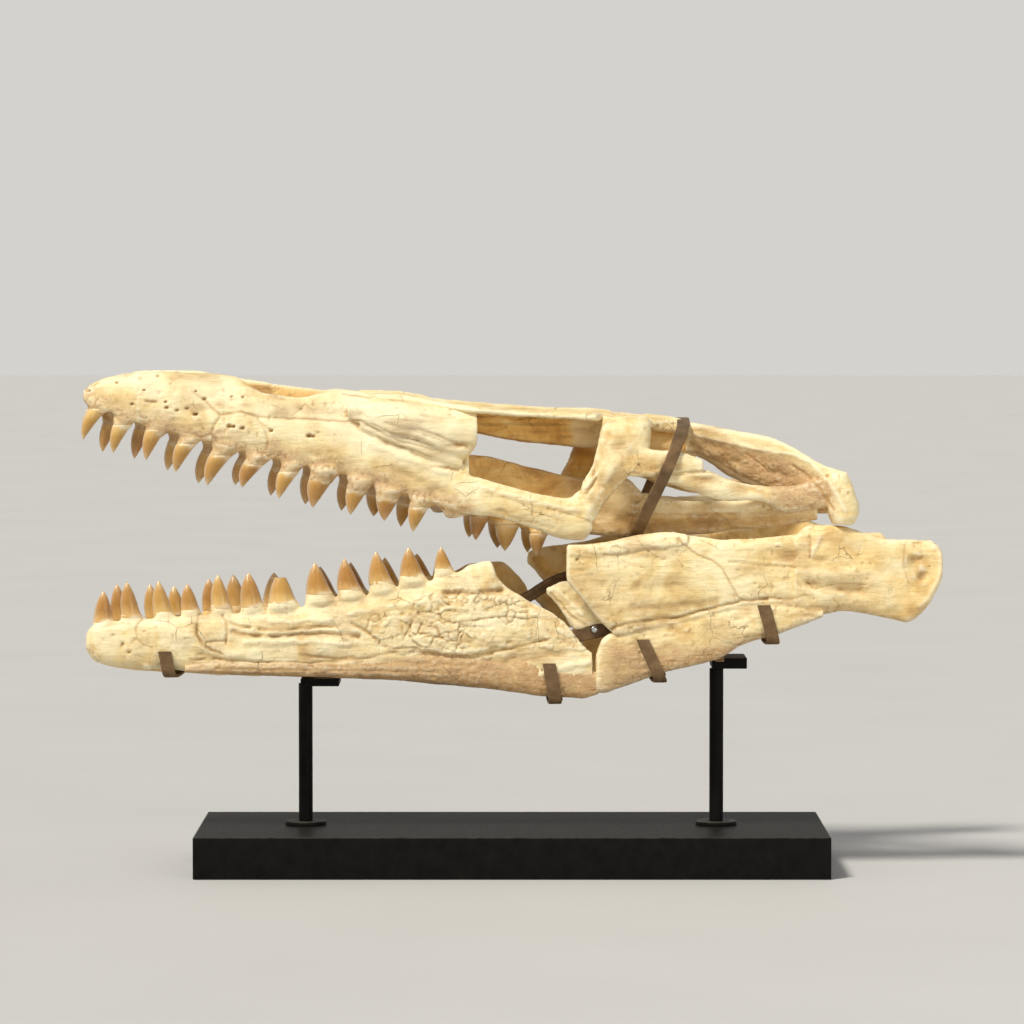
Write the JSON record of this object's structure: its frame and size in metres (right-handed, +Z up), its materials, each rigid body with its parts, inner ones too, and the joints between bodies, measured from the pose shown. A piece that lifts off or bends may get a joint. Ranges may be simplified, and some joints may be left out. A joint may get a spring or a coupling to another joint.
{
  "type": "mosasaur skull on a display stand",
  "caption": "Fossil skull of a mosasaur with open toothed jaws, held by bronzed clips and straps above a low black base with slim rods.",
  "frame": {"origin": "centre of the base's underside, on the floor", "axes": "+X runs along the base from the snout's end to the jaw's rear end, +Y to the skull's right side, +Z up; the head is turned 8 degrees, its snout towards -Y"},
  "size_m": [0.8507, 0.2914, 0.498],
  "materials": {
    "bone": null,
    "toothed_bone": null,
    "bronzed_steel": "dark olive-brown patina on flat steel bar",
    "bolt_steel": "plain bright steel",
    "black_satin": "black satin paint"
  },
  "bodies": {
    "root": {"angular_l": "bone", "angular_r": "bone", "armature_bolt": "bolt_steel", "armature_clip_1_l": "bronzed_steel", "armature_clip_1_r": "bronzed_steel", "armature_clip_2_l": "bronzed_steel", "armature_clip_2_r": "bronzed_steel", "armature_clip_3_l": "bronzed_steel", "armature_clip_3_r": "bronzed_steel", "armature_clip_4_l": "bronzed_steel", "armature_clip_4_r": "bronzed_steel", "armature_cradle": "bronzed_steel", "armature_cradle_post": "bronzed_steel", "armature_post_front": "bronzed_steel", "armature_post_rear": "bronzed_steel", "armature_spine": "bronzed_steel", "armature_strap_l": "bronzed_steel", "armature_strap_r": "bronzed_steel", "armature_strap_top": "bronzed_steel", "armature_tie": "bronzed_steel", "articular_l": "bone", "articular_r": "bone", "braincase": "bone", "coronoid_l": "bone", "coronoid_r": "bone", "dentary_l": "toothed_bone", "dentary_r": "toothed_bone", "frontal": "bone", "jugal_l": "bone", "jugal_r": "bone", "maxilla_l": "toothed_bone", "maxilla_r": "toothed_bone", "parietal": "bone", "postorbitofrontal_l": "bone", "postorbitofrontal_r": "bone", "prearticular_l": "bone", "prearticular_r": "bone", "prefrontal_l": "bone", "prefrontal_r": "bone", "premaxilla": "toothed_bone", "pterygoid_l": "toothed_bone", "pterygoid_r": "toothed_bone", "quadrate_l": "bone", "quadrate_r": "bone", "splenial_l": "bone", "splenial_r": "bone", "squamosal_l": "bone", "squamosal_r": "bone", "stand_base": "black_satin", "stand_disc_front": "black_satin", "stand_disc_rear": "black_satin", "stand_plate_front": "black_satin", "stand_plate_rear": "black_satin", "stand_rod_front": "black_satin", "stand_rod_rear": "black_satin", "supratemporal_l": "bone", "supratemporal_r": "bone", "surangular_l": "bone", "surangular_r": "bone"}
  },
  "joints": []
}
